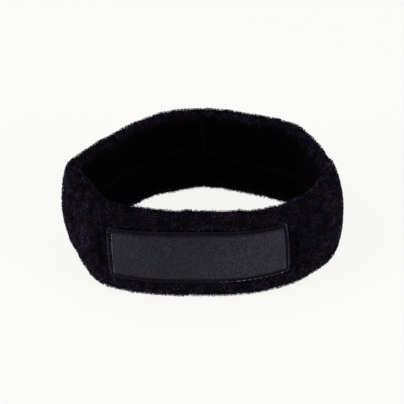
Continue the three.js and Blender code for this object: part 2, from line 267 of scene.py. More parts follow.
def swept(name, points, material, closed):
    """A solid from an array of rings (rings, corners, 3); open ends get a cap."""
    rings, count = points.shape[:2]
    faces = grid_faces(rings, count, closed, True)
    if not closed:
        faces.append(list(range(count))[::-1])
        faces.append([(rings - 1) * count + k for k in range(count)])
    ob = new_mesh(name, points.reshape(-1, 3), faces)
    ob.data.materials.append(material)
    return ob


def set_attribute(ob, name, values):
    a = ob.data.attributes.get(name) or ob.data.attributes.new(name, "FLOAT", "POINT")
    a.data.foreach_set("value", np.asarray(values, np.float32).ravel())


# ------------------------------------------------------------------ materials
def group(name, inputs, outputs):
    """An empty shader node group with these sockets."""
    g = bpy.data.node_groups.new(name, "ShaderNodeTree")
    for label, kind, value in inputs:
        s = g.interface.new_socket(label, in_out="INPUT", socket_type=kind)
        if value is not None:
            s.default_value = value
    for label, kind in outputs:
        g.interface.new_socket(label, in_out="OUTPUT", socket_type=kind)
    return g, g.nodes.new("NodeGroupInput"), g.nodes.new("NodeGroupOutput")


def maths(nt, operation, a, b=0.0, clamp=False):
    n = nt.nodes.new("ShaderNodeMath")
    n.operation = operation
    n.use_clamp = clamp
    for k, v in enumerate((a, b)):
        if isinstance(v, (int, float)):
            n.inputs[k].default_value = v
        else:
            nt.links.new(v, n.inputs[k])
    return n.outputs[0]


def scaled(nt, vector, share):
    """A colour or vector times a value."""
    n = nt.nodes.new("ShaderNodeVectorMath")
    n.operation = "SCALE"
    nt.links.new(vector, n.inputs[0])
    nt.links.new(share, n.inputs["Scale"])
    return n.outputs[0]


def noise(nt, vector, scale, detail=2.0):
    """A cloud of values with its middle at a half."""
    n = nt.nodes.new("ShaderNodeTexNoise")
    n.inputs["Detail"].default_value = detail
    nt.links.new(vector, n.inputs["Vector"])
    if isinstance(scale, (int, float)):
        n.inputs["Scale"].default_value = scale
    else:
        nt.links.new(scale, n.inputs["Scale"])
    return n.outputs["Fac"]


def dye_group():
    """Cotton dyed black: it fades and mottles in patches, turns purple or blue, and collects lint."""
    g, gin, gout = group(
        "faded_black_dye",
        [("Color", "NodeSocketColor", (0.01, 0.01, 0.01, 1)), ("Patch scale", "NodeSocketFloat", 60.0),
         ("Mottle scale", "NodeSocketFloat", 230.0), ("Speck scale", "NodeSocketFloat", 700.0),
         ("Fade", "NodeSocketFloat", 0.35), ("Mottle", "NodeSocketFloat", 0.6),
         ("Lint", "NodeSocketFloat", 0.5), ("Turn", "NodeSocketFloat", 0.6)],
        [("Color", "NodeSocketColor")],
    )
    where = g.nodes.new("ShaderNodeTexCoord").outputs["Object"]
    slow = maths(g, "SUBTRACT", noise(g, where, gin.outputs["Patch scale"], 3.0), 0.5)
    mottle = maths(g, "SUBTRACT", noise(g, where, gin.outputs["Mottle scale"]), 0.5)
    speck = maths(g, "SUBTRACT", noise(g, where, gin.outputs["Speck scale"]), 0.6)
    fade = maths(g, "MULTIPLY", maths(g, "MULTIPLY", slow, gin.outputs["Fade"]), 3.0)
    patchy = maths(g, "MULTIPLY", maths(g, "MULTIPLY", mottle, gin.outputs["Mottle"]), 4.0)
    lint = maths(g, "MULTIPLY", maths(g, "MULTIPLY", speck, 7.0, clamp=True), gin.outputs["Lint"])
    level = maths(g, "ADD", maths(g, "ADD", maths(g, "ADD", fade, patchy), lint), 1.0)
    level = maths(g, "MAXIMUM", level, 0.15)
    elsewhere = g.nodes.new("ShaderNodeVectorMath")
    elsewhere.operation = "ADD"
    elsewhere.inputs[1].default_value = (0.31, 0.17, 0.53)
    g.links.new(where, elsewhere.inputs[0])
    hue = maths(g, "SUBTRACT", noise(g, elsewhere.outputs[0], 75.0, 3.0), 0.5)
    hue = maths(g, "MULTIPLY", maths(g, "MULTIPLY", hue, gin.outputs["Turn"]), 2.5)
    # from blue, through black, to purple
    tint = g.nodes.new("ShaderNodeCombineXYZ")
    g.links.new(maths(g, "ADD", maths(g, "MULTIPLY", hue, 0.55), 1.0), tint.inputs["X"])
    g.links.new(maths(g, "ADD", maths(g, "MULTIPLY", hue, -0.15), 1.0), tint.inputs["Y"])
    g.links.new(maths(g, "ADD", maths(g, "MULTIPLY", hue, -0.3), 1.0), tint.inputs["Z"])
    tinted = g.nodes.new("ShaderNodeVectorMath")
    tinted.operation = "MULTIPLY"
    g.links.new(gin.outputs["Color"], tinted.inputs[0])
    g.links.new(tint.outputs[0], tinted.inputs[1])
    g.links.new(scaled(g, tinted.outputs[0], level), gout.inputs["Color"])
    return g


def twist_group():
    """The lay of a twisted yarn, as a height across small distances."""
    g, gin, gout = group(
        "yarn_twist",
        [("Turns", "NodeSocketFloat", 900.0), ("Rough", "NodeSocketFloat", 1.5)],
        [("Height", "NodeSocketFloat")],
    )
    co = g.nodes.new("ShaderNodeTexCoord")
    w = g.nodes.new("ShaderNodeTexWave")
    w.wave_type, w.bands_direction = "BANDS", "DIAGONAL"
    g.links.new(co.outputs["Object"], w.inputs["Vector"])
    g.links.new(gin.outputs["Turns"], w.inputs["Scale"])
    g.links.new(gin.outputs["Rough"], w.inputs["Distortion"])
    g.links.new(w.outputs["Fac"], gout.inputs["Height"])
    return g


DYE = dye_group()
TWIST = twist_group()


def dyed(nt, colour, values):
    """The dye group placed in a material with its own values."""
    dye = nt.nodes.new("ShaderNodeGroup")
    dye.node_tree = DYE
    dye.inputs["Color"].default_value = (*colour, 1.0)
    for label, value in values.items():
        dye.inputs[label].default_value = value
    return dye.outputs["Color"]


def raised(nt, shader, height, strength):
    """Fine relief, a tenth of a millimetre deep, from a height."""
    b = nt.nodes.new("ShaderNodeBump")
    b.inputs["Strength"].default_value = strength
    b.inputs["Distance"].default_value = 0.0001
    nt.links.new(height, b.inputs["Height"])
    nt.links.new(b.outputs["Normal"], shader.inputs["Normal"])


def cloth_material(name, colour, roughness, specular=0.06, sheen=0.0, fade=0.3, mottle=0.4, lint=0.4,
                   turn=0.5, speck=700.0, varies=(), twist=0.0):
    """A dyed yarn whose colour may also vary with attributes of its mesh, each between two shares."""
    m = bpy.data.materials.new(name)
    m.use_nodes = True
    nt = m.node_tree
    p = nt.nodes["Principled BSDF"]
    p.inputs["Roughness"].default_value = roughness
    p.inputs["Specular IOR Level"].default_value = specular
    p.inputs["Sheen Weight"].default_value = sheen
    p.inputs["Sheen Roughness"].default_value = 0.45
    p.inputs["Sheen Tint"].default_value = (0.6, 0.55, 0.75, 1.0)
    shade = dyed(nt, colour, {"Patch scale": 50.0, "Speck scale": speck, "Fade": fade, "Mottle": mottle,
                              "Lint": lint, "Turn": turn})
    for attribute, low, high in varies:
        a = nt.nodes.new("ShaderNodeAttribute")
        a.attribute_name = attribute
        share = maths(nt, "ADD", maths(nt, "MULTIPLY", a.outputs["Fac"], high - low), low)
        shade = scaled(nt, shade, share)
    nt.links.new(shade, p.inputs["Base Color"])
    if twist:
        lay = nt.nodes.new("ShaderNodeGroup")
        lay.node_tree = TWIST
        raised(nt, p, lay.outputs["Height"], twist)
    return m


def wave(nt, distance, pitch):
    """A sine along a flat distance in millimetres."""
    return maths(nt, "SINE", maths(nt, "MULTIPLY", distance, 2 * math.pi / pitch))


def woven_panel_material():
    """Closely woven panel: fine upright ribs crossed by a finer weft, on the piece's own flat map."""
    m = bpy.data.materials.new("woven_charcoal_panel")
    m.use_nodes = True
    nt = m.node_tree
    p = nt.nodes["Principled BSDF"]
    p.inputs["Roughness"].default_value = 0.6
    p.inputs["Specular IOR Level"].default_value = 0.12
    p.inputs["Sheen Weight"].default_value = 0.04
    p.inputs["Sheen Tint"].default_value = (0.75, 0.75, 0.9, 1.0)
    uv = nt.nodes.new("ShaderNodeUVMap")
    uv.uv_map = "flat_cut"
    sep = nt.nodes.new("ShaderNodeSeparateXYZ")
    nt.links.new(uv.outputs["UV"], sep.inputs[0])
    rib = wave(nt, sep.outputs["X"], RIB_PITCH)
    weft = wave(nt, sep.outputs["Y"], WEFT_PITCH)
    height = maths(nt, "ADD", maths(nt, "MULTIPLY", rib, 0.35), maths(nt, "MULTIPLY", weft, 0.15))
    height = maths(nt, "ADD", height, 0.5)
    stretch = nt.nodes.new("ShaderNodeMapping")
    stretch.inputs["Scale"].default_value = (0.9, 0.06, 1)
    nt.links.new(uv.outputs["UV"], stretch.inputs["Vector"])
    streak = noise(nt, stretch.outputs["Vector"], 1.0, 4.0)
    tone = maths(nt, "ADD", maths(nt, "MULTIPLY", streak, 0.7), 0.6)
    tone = maths(nt, "MULTIPLY", tone, maths(nt, "ADD", maths(nt, "MULTIPLY", height, 0.35), 0.82))
    # painted light: paler towards the right end
    painted_light = nt.nodes.new("ShaderNodeMapRange")
    painted_light.interpolation_type = "SMOOTHSTEP"
    painted_light.inputs["From Min"].default_value = -4.0
    painted_light.inputs["From Max"].default_value = 26.0
    painted_light.inputs["To Min"].default_value = 0.8
    painted_light.inputs["To Max"].default_value = 1.25
    nt.links.new(sep.outputs["X"], painted_light.inputs["Value"])
    tone = maths(nt, "MULTIPLY", tone, painted_light.outputs["Result"])
    charcoal = dyed(nt, (0.0118, 0.0113, 0.0176),
                    {"Patch scale": 55.0, "Mottle scale": 1100.0, "Speck scale": 1800.0, "Fade": 0.13,
                     "Mottle": 1.15, "Lint": 1.0, "Turn": 0.4})
    nt.links.new(scaled(nt, charcoal, tone), p.inputs["Base Color"])
    raised(nt, p, height, 0.5)
    return m


# painted shade: the 'outside' attribute darkens the band's inside and the puckers past the patch; 'tuft'
# gives each loop a random shade
TERRY_YARN = cloth_material("black_terry_loops", (0.0106, 0.0072, 0.0158), 0.95, sheen=0.02, fade=0.6,
                            mottle=1.6, lint=1.1, turn=1.3, speck=420,
                            varies=[("tuft", 0.05, 2.3), ("outside", 0.02, 1.0)])
TERRY_GROUND = cloth_material("black_terry_ground", (0.004, 0.0034, 0.0054), 0.95, specular=0.02, twist=0.6,
                              varies=[("outside", 0.05, 1.0)])
SEAM_THREAD = cloth_material("black_overlock_thread", (0.0012, 0.001, 0.0014), 0.85, specular=0.02, lint=0.8)
BACKING_CLOTH = cloth_material("black_twill", (0.0038, 0.0035, 0.0075), 0.85, specular=0.05, twist=0.8)
BINDING_CORD = cloth_material("dark_binding_cord", (0.006, 0.0055, 0.0105), 0.7, specular=0.08,
                              varies=[("lit", 0.4, 2.2)])
BINDING_THREAD = cloth_material("dark_binding_thread", (0.011, 0.0098, 0.0185), 0.55, specular=0.1,
                                sheen=0.02, varies=[("tuft", 0.5, 1.5), ("lit", 0.2, 3.9)])
SEWING_THREAD = cloth_material("black_sewing_thread", (0.007, 0.0065, 0.011), 0.55, specular=0.08,
                               varies=[("tuft", 0.5, 1.5)])
STITCH_THREAD = cloth_material("grey_sewing_thread", (0.062, 0.058, 0.07), 0.55, specular=0.12, sheen=0.03,
                               varies=[("tuft", 0.2, 1.8), ("lit", 0.07, 1.5)])
ELASTIC_WEBBING = cloth_material("woven_elastic", (0.012, 0.012, 0.014), 0.8, twist=0.8)
PANEL_CLOTH = woven_panel_material()


# ------------------------------------------------------------------ geometry node trees
class Tree:
    """A geometry node tree built in a few short calls."""

    def __init__(self, name, inputs):
        self.t = bpy.data.node_groups.new(name, "GeometryNodeTree")
        self.t.is_modifier = True
        self.t.interface.new_socket("Geometry", in_out="INPUT", socket_type="NodeSocketGeometry")
        self.ids = {}
        for label, kind, value in inputs:
            s = self.t.interface.new_socket(label, in_out="INPUT", socket_type=kind)
            if value is not None:
                s.default_value = value
            self.ids[label] = s.identifier
        self.t.interface.new_socket("Geometry", in_out="OUTPUT", socket_type="NodeSocketGeometry")
        self.input = self.t.nodes.new("NodeGroupInput")
        self.output = self.t.nodes.new("NodeGroupOutput")

    def node(self, kind, links=None, **settings):
        n = self.t.nodes.new(kind)
        for k, v in settings.items():
            setattr(n, k, v)
        for k, v in (links or {}).items():
            socket = n.inputs[k]
            if isinstance(v, bpy.types.NodeSocket):
                self.t.links.new(v, socket)
            else:
                socket.default_value = v
        return n

    def maths(self, operation, a, b=0.0):
        return self.node("ShaderNodeMath", {0: a, 1: b}, operation=operation).outputs[0]

    def finish(self, instances, shade_seed, material):
        """Give each instance a shade of its own, then make them all one smooth mesh."""
        shade = self.node("FunctionNodeRandomValue", {2: 0.0, 3: 1.0, "Seed": shade_seed}, data_type="FLOAT")
        stored = self.node("GeometryNodeStoreNamedAttribute",
                           {"Geometry": instances.outputs[0], "Name": "tuft", "Value": shade.outputs[1]},
                           data_type="FLOAT", domain="INSTANCE")
        real = self.node("GeometryNodeRealizeInstances", {"Geometry": stored.outputs[0]})
        smooth = self.node("GeometryNodeSetShadeSmooth", {"Geometry": real.outputs[0]})
        dressed = self.node("GeometryNodeSetMaterial", {"Geometry": smooth.outputs[0], "Material": material})
        self.t.links.new(dressed.outputs[0], self.output.inputs[0])


def loops_tree():
    """Terry loops: small upright arcs of yarn scattered over the knitted ground."""
    tree = Tree("terry_loops", [
        ("Loop height", "NodeSocketFloat", LOOP_HEIGHT / 1000),
        ("Loop width", "NodeSocketFloat", 0.0009),
        ("Yarn radius", "NodeSocketFloat", YARN / 1000),
        ("Spacing", "NodeSocketFloat", LOOP_SPACING / 1000),
        ("Seed", "NodeSocketInt", 3),
        ("Yarn", "NodeSocketMaterial", None),
    ])
    i = tree.input.outputs
    arc = tree.node("GeometryNodeCurveArc", {"Resolution": 6, "Radius": 0.5,
                                             "Start Angle": -0.75, "Sweep Angle": math.pi + 1.5})
    profile = tree.node("GeometryNodeCurvePrimitiveCircle", {"Resolution": 3, "Radius": 1.0})
    size = tree.node("ShaderNodeCombineXYZ", {"X": i["Loop width"], "Y": i["Loop height"], "Z": 1.0})
    shaped = tree.node("GeometryNodeTransform", {"Geometry": arc.outputs["Curve"], "Scale": size.outputs[0]})
    thick = tree.node("ShaderNodeCombineXYZ", {"X": i["Yarn radius"], "Y": i["Yarn radius"], "Z": 1.0})
    yarn = tree.node("GeometryNodeTransform",
                     {"Geometry": profile.outputs["Curve"], "Scale": thick.outputs[0]})
    tube = tree.node("GeometryNodeCurveToMesh",
                     {"Curve": shaped.outputs[0], "Profile Curve": yarn.outputs[0], "Fill Caps": True})
    lift = tree.node("ShaderNodeCombineXYZ", {"X": 0.0, "Y": 0.0,
                                              "Z": tree.maths("MULTIPLY", i["Loop height"], 0.42)})
    upright = tree.node("GeometryNodeTransform",
                        {"Geometry": tube.outputs[0], "Rotation": (math.pi / 2, 0, 0),
                         "Translation": lift.outputs[0]})
    pile = tree.node("GeometryNodeInputNamedAttribute", {"Name": "pile"}, data_type="FLOAT")
    points = tree.node("GeometryNodeDistributePointsOnFaces",
                       {"Mesh": i["Geometry"], "Distance Min": i["Spacing"], "Density Max": 3.2e6,
                        "Density Factor": pile.outputs["Attribute"], "Seed": i["Seed"]},
                       distribute_method="POISSON")
    lean = tree.node("FunctionNodeRandomValue", {"Min": (-0.35, -0.35, 0.0), "Max": (0.35, 0.35, 6.28),
                                                 "Seed": i["Seed"]}, data_type="FLOAT_VECTOR")
    turned = tree.node("FunctionNodeRotateRotation", {"Rotation": points.outputs["Rotation"],
                                                      "Rotate By": lean.outputs["Value"]},
                       rotation_space="LOCAL")
    length = tree.node("FunctionNodeRandomValue", {"Min": (0.85, 0.85, 0.8), "Max": (1.2, 1.2, 1.12),
                                                   "Seed": 11}, data_type="FLOAT_VECTOR")
    placed = tree.node("GeometryNodeInstanceOnPoints",
                       {"Points": points.outputs["Points"], "Instance": upright.outputs[0],
                        "Rotation": turned.outputs[0], "Scale": length.outputs["Value"]})
    tree.finish(placed, 29, i["Yarn"])
    return tree


def stitches_tree():
    """A row of stitches along a line whose points carry the way out of the cloth, facing."""
    tree = Tree("row_of_stitches", [
        ("Pitch", "NodeSocketFloat", 0.0025),
        ("Stitch length", "NodeSocketFloat", 0.002),
        ("Thread radius", "NodeSocketFloat", 0.0003),
        ("Slant", "NodeSocketFloat", 0.0),
        ("Alternating slant", "NodeSocketFloat", 0.0),
        ("Thread", "NodeSocketMaterial", None),
        ("Seed", "NodeSocketInt", 5),
    ])
    i = tree.input.outputs
    line = tree.node("GeometryNodeMeshToCurve", {"Mesh": i["Geometry"]})
    spaced = tree.node("GeometryNodeResampleCurve", {"Curve": line.outputs[0], "Length": i["Pitch"]},
                       mode="LENGTH")
    tangent = tree.node("GeometryNodeInputTangent")
    facing = tree.node("GeometryNodeInputNamedAttribute", {"Name": "facing"}, data_type="FLOAT_VECTOR")
    along = tree.node("FunctionNodeAlignRotationToVector", {"Vector": tangent.outputs[0]}, axis="X")
    flat = tree.node("FunctionNodeAlignRotationToVector",
                     {"Rotation": along.outputs[0], "Vector": facing.outputs["Attribute"]},
                     axis="Z", pivot_axis="X")
    index = tree.node("GeometryNodeInputIndex")
    parity = tree.maths("MODULO", index.outputs[0], 2.0)
    odd = tree.maths("SUBTRACT", tree.maths("MULTIPLY", parity, 2.0), 1.0)
    slant = tree.maths("ADD", i["Slant"], tree.maths("MULTIPLY", odd, i["Alternating slant"]))
    wobble = tree.node("FunctionNodeRandomValue", {2: -0.07, 3: 0.07, "Seed": i["Seed"]}, data_type="FLOAT")
    about = tree.node("ShaderNodeCombineXYZ", {"X": 0.0, "Y": 0.0,
                                               "Z": tree.maths("ADD", slant, wobble.outputs[1])})
    turned = tree.node("FunctionNodeRotateRotation",
                       {"Rotation": flat.outputs[0], "Rotate By": about.outputs[0]},
                       rotation_space="LOCAL")
    bead = tree.node("GeometryNodeMeshUVSphere", {"Segments": 6, "Rings": 5, "Radius": 1.0})
    half = tree.maths("MULTIPLY", i["Stitch length"], 0.5)
    size = tree.node("ShaderNodeCombineXYZ", {"X": half, "Y": i["Thread radius"], "Z": i["Thread radius"]})
    shaped = tree.node("GeometryNodeTransform", {"Geometry": bead.outputs["Mesh"], "Scale": size.outputs[0]})
    vary = tree.node("FunctionNodeRandomValue", {"Min": (0.88, 0.9, 0.85), "Max": (1.05, 1.1, 1.15),
                                                 "Seed": i["Seed"]}, data_type="FLOAT_VECTOR")
    placed = tree.node("GeometryNodeInstanceOnPoints",
                       {"Points": spaced.outputs[0], "Instance": shaped.outputs[0],
                        "Rotation": turned.outputs[0], "Scale": vary.outputs["Value"]})
    tree.finish(placed, 17, i["Thread"])
    return tree


def grown(name, carrier, tree, material_input, material, **values):
    """The plain mesh that a tree makes on the carrier, which is removed."""
    mod = carrier.modifiers.new("grow", "NODES")
    mod.node_group = tree.t
    for label, value in values.items():
        mod[tree.ids[label.replace("_", " ")]] = value
    mod[tree.ids[material_input]] = material
    dg = bpy.context.evaluated_depsgraph_get()
    me = bpy.data.meshes.new_from_object(carrier.evaluated_get(dg), depsgraph=dg)
    me.name = name
    if not me.materials:
        me.materials.append(material)
    bpy.data.objects.remove(carrier)
    ob = bpy.data.objects.new(name, me)
    bpy.context.scene.collection.objects.link(ob)
    return ob


LOOPS = loops_tree()
STITCHES = stitches_tree()


# ------------------------------------------------------------------ how the patch was sewn on
def at_end(s, left_and_right):
    """The left end's value or the right's, by the side of the middle that s is on."""
    return np.where(s < 0, *left_and_right)


def as_sewn(s, z):
    """Places on the wall for flat places on the patch, whose ends were sewn drawn in and out of square."""
    up = z - PATCH_MIDDLE
    ends = (s / (PATCH_LENGTH / 2)) ** 2
    along = s * (1 + at_end(s, SEWN_SLANT) * up) + SEWN_ASIDE
    return along, PATCH_MIDDLE + at_end(s, SEWN_LIFT) * ends + up * (1 - SEWN_NARROWING * ends)


def past_patch(s, z):
    """How far places on the wall lie past the sewn patch's ends, and past its long edges."""
    s = round_gap(s, SEWN_ASIDE)
    ends = np.clip((s / (PATCH_LENGTH / 2)) ** 2, 0, 1.3)
    up = (z - PATCH_MIDDLE - at_end(s, SEWN_LIFT) * ends) / (1 - SEWN_NARROWING * ends)
    along = s / (1 + at_end(s, SEWN_SLANT) * up)
    return np.abs(along) - PATCH_LENGTH / 2, np.abs(up) - PATCH_HEIGHT / 2


# ------------------------------------------------------------------ the terry cloth
def press(s, z):
    """How far the sewn patch holds the outer face in, with the pucker past each end."""
    past_s, past_z = past_patch(s, z)
    past = np.maximum(past_s, past_z)
    held = RECESS * (1 - smooth_step(0.2, 1.8, past))
    high = np.clip(1 - (np.abs(z - PATCH_MIDDLE + 1) - 12) / 6, 0, 1)
    pucker = PINCH * (bump(past_s, PUCKER_AT, 1.3) + 0.5 * bump(past_s, SECOND_PUCKER_AT, 1.2)) * high
    puff = -0.45 * bump(past, 2.2, 1.0) * (past_z > -3)
    return held + pucker + puff


def cloth_section(s):
    """Rows of (n, z) over the cloth's outside then its inside, for an array of s: (len(s), rows)."""
    s = s[:, None]
    low, high = FOLD, HEIGHT - FOLD
    slit = seam_height(s)
    half = low - 0.4
    u = np.linspace(0, 1, 15)[None]
    down_z = (slit - 0.5) + (low - (slit - 0.5)) * u
    a = np.radians(np.linspace(180, 360, 17)[1:-1])[None]
    # a soft superellipse fold
    fold_n = np.sign(np.cos(a)) * np.abs(np.cos(a)) ** 0.8 * CLOTH_OUT
    bottom_z = low + half * np.sign(np.sin(a)) * np.abs(np.sin(a)) ** 0.9
    up_z = np.linspace(low, high, 33)[None] + 0 * s
    top_z = high - half * np.sign(np.sin(a)) * np.abs(np.sin(a)) ** 0.9
    over_z = high + ((slit + 0.5) - high) * u
    one = np.ones_like(s)
    inner_n = -CLOTH_OUT * one * np.ones_like(u)
    n = np.hstack([inner_n, fold_n * one, CLOTH_OUT * np.ones_like(up_z), -fold_n * one, inner_n])
    z = np.hstack([down_z, bottom_z + 0 * s, up_z, top_z + 0 * s, over_z])
    # the outside wanders a little, and the folded edges rise and fall
    face = np.sign(n)
    n = n - (n > 0) * press(s, z) * np.clip(n / CLOTH_OUT, 0, 1)
    lump = ripple(s, z, [(31, 0.02, 0.14, 0.2), (47, -0.035, 0.12, 3.0), (19, 0.013, 0.16, 5.1),
                         (67, 0.05, 0.07, 1.7)])
    n = n + face * lump * 0.9
    edge = ripple(s, 0 * z, [(9, 0, 0.18, 0.9), (16, 0, 0.14, 2.7), (29, 0, 0.17, 4.4), (43, 0, 0.12, 0.3)])
    edge = edge + RIM_RISE * bump(round_gap(s, -25), 0, 20) - RIM_DIP * bump(round_gap(s, 45), 0, 18)
    top_share = np.clip((z - 30) / 16, 0, 1)
    z = z + edge * top_share
    # the join of the cloth's two ends shows as a shallow furrow up the back
    n = n - face * FURROW_DEPTH * bump(round_gap(s, CENTRE_BACK), 0, FURROW_WIDTH)
    outside_rows = n.shape[1]
    # the inside of the cloth, next to the elastic
    v = np.linspace(0, 1, 8)[None]
    back = [
        (-CLOTH_IN * np.ones_like(v), (slit + 0.5) + (45.0 - (slit + 0.5)) * v),
        (np.linspace(-0.8, 0.8, 3)[None], 45.6 + 0 * v[:, :3]),
        (CLOTH_IN * np.ones((1, 14)), np.linspace(45.0, 5.0, 14)[None]),
        (np.linspace(0.8, -0.8, 3)[None], 4.4 + 0 * v[:, :3]),
        (-CLOTH_IN * np.ones_like(v), 5.0 + ((slit - 0.5) - 5.0) * v),
    ]
    n2 = np.hstack([b[0] * one for b in back])
    z2 = np.hstack([b[1] * one for b in back])
    n2 = n2 - (n2 > 1.0) * np.minimum(press(s, z2) * 0.25, 0.4)
    return np.hstack([n, n2]), np.hstack([z, z2]), outside_rows


def terry_cloth():
    """The knitted ground, marked with painted shade on its inside and in the puckers, with where its loops
    may stand.
    """
    s = np.arange(0, GIRTH, GIRTH / CLOTH_COLUMNS)
    n, z, outside_rows = cloth_section(s)
    at = wrap(s[:, None], n, z)
    at[..., 2] = np.maximum(at[..., 2], ABOVE_TABLE)
    rings, count = n.shape
    ob = new_mesh("terry_cloth", at.reshape(-1, 3), grid_faces(rings, count, True, True))
    ob.data.materials.append(TERRY_GROUND)
    outside = np.tile((np.arange(count) < outside_rows), (rings, 1))
    # painted shade: the face against the head is darkened to deep black a little way in from each rim, and
    # the outside keeps its full colour
    from_rim = np.maximum(np.minimum(z, HEIGHT - z) - 1.5, 0)
    painted_shade = np.where(n > 0, 1.0, np.exp(-(from_rim / 2.5) ** 2)) * outside
    past_s, past_z = past_patch(s[:, None], z)
    # painted shade: the outside darkened in the puckers past the patch's ends
    puckered = bump(past_s, PUCKER_AT, 1.6) + 0.5 * bump(past_s, SECOND_PUCKER_AT, 1.3)
    painted_crease_shade = puckered * bump(z, PATCH_MIDDLE - 1, 17) ** 2
    set_attribute(ob, "outside", painted_shade * (1 - 0.75 * painted_crease_shade * (n > 0)))
    s_all = np.tile(s[:, None], (1, count))
    # no loops under the patch, on the closing seam or in the join's furrow
    bare = (n > 0) & (np.maximum(past_s, past_z) < 0.1)
    bare |= (n < 0) & (np.abs(z - seam_height(s_all)) < BARE_AT_SEAM)
    up_the_join = (z > 3) & (z < HEIGHT - 3)
    bare |= (n < 0) & (np.abs(round_gap(s_all, CENTRE_BACK)) < BARE_AT_JOIN) & up_the_join
    return ob, s_all, outside & ~bare


def terry_pile(cloth, s_all, pile):
    """The loops, in six lengths of the band."""
    names = ["front", "right_front", "right_back", "back", "left_back", "left_front"]
    length = GIRTH / len(names)
    made = []
    for k, name in enumerate(names):
        inside = np.mod(s_all - (k - 0.5) * length, GIRTH) < length
        carrier = cloth.copy()
        carrier.data = cloth.data.copy()
        bpy.context.scene.collection.objects.link(carrier)
        set_attribute(carrier, "pile", (inside & pile).astype(float))
        ob = grown("terry_loops_" + name, carrier, LOOPS, "Yarn", TERRY_YARN, Seed=7 + k)
        me = ob.data
        co = np.empty(len(me.vertices) * 3, np.float32)
        me.vertices.foreach_get("co", co)
        co = co.reshape(-1, 3)
        co[:, 2] = np.maximum(co[:, 2], FLAT_ON_TABLE)
        me.vertices.foreach_set("co", co.ravel())
        made.append(ob)
    return made


# ------------------------------------------------------------------ lines and cords
def line_carrier(s, n, z, closed, lit=None):
    """A line of edges that carries the way out of the cloth at each of its points."""
    at = wrap(s, n, z)
    out = wrap(s, np.asarray(n) + 1.0, z) - at
    me = bpy.data.meshes.new("line")
    count = len(at)
    edges = [(k, k + 1) for k in range(count - 1)] + ([(count - 1, 0)] if closed else [])
    me.from_pydata([tuple(p) for p in at], edges, [])
    a = me.attributes.new("facing", "FLOAT_VECTOR", "POINT")
    a.data.foreach_set("vector", (out / np.linalg.norm(out, axis=1)[:, None]).astype(np.float32).ravel())
    if lit is not None:
        pale = me.attributes.new("lit", "FLOAT", "POINT")
        pale.data.foreach_set("value", np.broadcast_to(lit, count).astype(np.float32))
    ob = bpy.data.objects.new("line", me)
    bpy.context.scene.collection.objects.link(ob)
    return ob


def rectangle(length, height, radius):
    """Points round a rectangle with small round corners, centred on the patch."""
    hx, hz = length / 2, height / 2
    corners = [(hx - radius, -hz + radius, 270), (hx - radius, hz - radius, 0),
               (-hx + radius, hz - radius, 90), (-hx + radius, -hz + radius, 180)]
    points = []
    for x, z, start in corners:
        for a in np.radians(np.linspace(start, start + 90, 5)):
            points.append((x + radius * math.cos(a), z + radius * math.sin(a)))
    points = np.array(points + points[:1])
    run = np.r_[0, np.cumsum(np.linalg.norm(np.diff(points, axis=0), axis=1))]
    at = np.arange(0, run[-1], run[-1] / round(run[-1] / CORD_STEP))
    s = np.interp(at, run, points[:, 0])
    z = np.interp(at, run, points[:, 1])
    return s, z + PATCH_MIDDLE


def cord_round(name, s, z, base, width, height, material):
    """A rounded cord lying on the surface n = base, along a closed flat path."""
    s, z = as_sewn(s, z)
    ds, dz = np.roll(s, -1) - np.roll(s, 1), np.roll(z, -1) - np.roll(z, 1)
    size = np.hypot(ds, dz)
    side_s, side_z = dz / size, -ds / size
    a = np.radians(np.linspace(0, 360, CORD_CORNERS, endpoint=False))
    across, up = np.cos(a) * width / 2, (np.sin(a) + 1) / 2 * height
    points = wrap(s[:, None] + side_s[:, None] * across, base + up[None] + 0 * s[:, None],
                  z[:, None] + side_z[:, None] * across)
    return swept(name, points, material, True)


# ------------------------------------------------------------------ seams inside
def ridge(half_width, rise):
    """Half a turn over a seam's ridge: distances across it and up."""
    a = np.radians(np.linspace(0, 180, 8))
    return np.cos(a) * half_width, np.sin(a) * rise


def closing_seam():
    """The ridge that closes the sleeve, from one side of the join round to the other."""
    s = np.linspace(CENTRE_BACK + SEAM_STOPS, CENTRE_BACK + GIRTH - SEAM_STOPS, 620)
    z = seam_height(s)
    across, up = ridge(SEAM_HALF_WIDTH, SEAM_RISE)
    rise = 1 + 0.14 * np.sin(s * 2.1) + 0.1 * np.sin(s * 0.53 + 1)
    n = RIDGE_BASE - up[None] * rise[:, None]
    zz = z[:, None] + across[None]
    root = 0 * n[:, :1] + RIDGE_BASE + RIDGE_ROOT
    points = wrap(s[:, None], np.hstack([n, root]), np.hstack([zz, z[:, None]]))
    core = swept("closing_seam_ridge", points, SEAM_THREAD, False)
    carrier = line_carrier(s, -CLOTH_OUT - SEAM_RISE, z, False)
    threads = grown("closing_seam_threads", carrier, STITCHES, "Thread", SEAM_THREAD, Pitch=0.0016,
                    Stitch_length=0.0040, Thread_radius=0.00032, Slant=math.pi / 2,
                    Alternating_slant=0.28, Seed=5)
    return core, threads


def join_seam():
    """The overlocked join up the centre back."""
    z = np.linspace(JOIN_STOPS, HEIGHT - JOIN_STOPS, 60)
    across, up = ridge(JOIN_HALF_WIDTH, JOIN_RISE)
    wander = 0.35 * np.sin(z / 5)
    s = CENTRE_BACK + across[None] + wander[:, None]
    n = RIDGE_BASE - up[None] + 0 * z[:, None]
    root = 0 * n[:, :1] + RIDGE_BASE + RIDGE_ROOT
    points = wrap(np.hstack([s, 0 * s[:, :1] + CENTRE_BACK]), np.hstack([n, root]),
                  np.repeat(z[:, None], len(across) + 1, 1))
    core = swept("join_seam_ridge", points, SEAM_THREAD, False)
    carrier = line_carrier(CENTRE_BACK + wander, -CLOTH_OUT - JOIN_RISE, z, False)
    threads = grown("join_seam_threads", carrier, STITCHES, "Thread", SEAM_THREAD, Pitch=0.0016,
                    Stitch_length=0.0042, Thread_radius=0.00034, Slant=math.pi / 2,
                    Alternating_slant=0.3, Seed=8)
    return core, threads


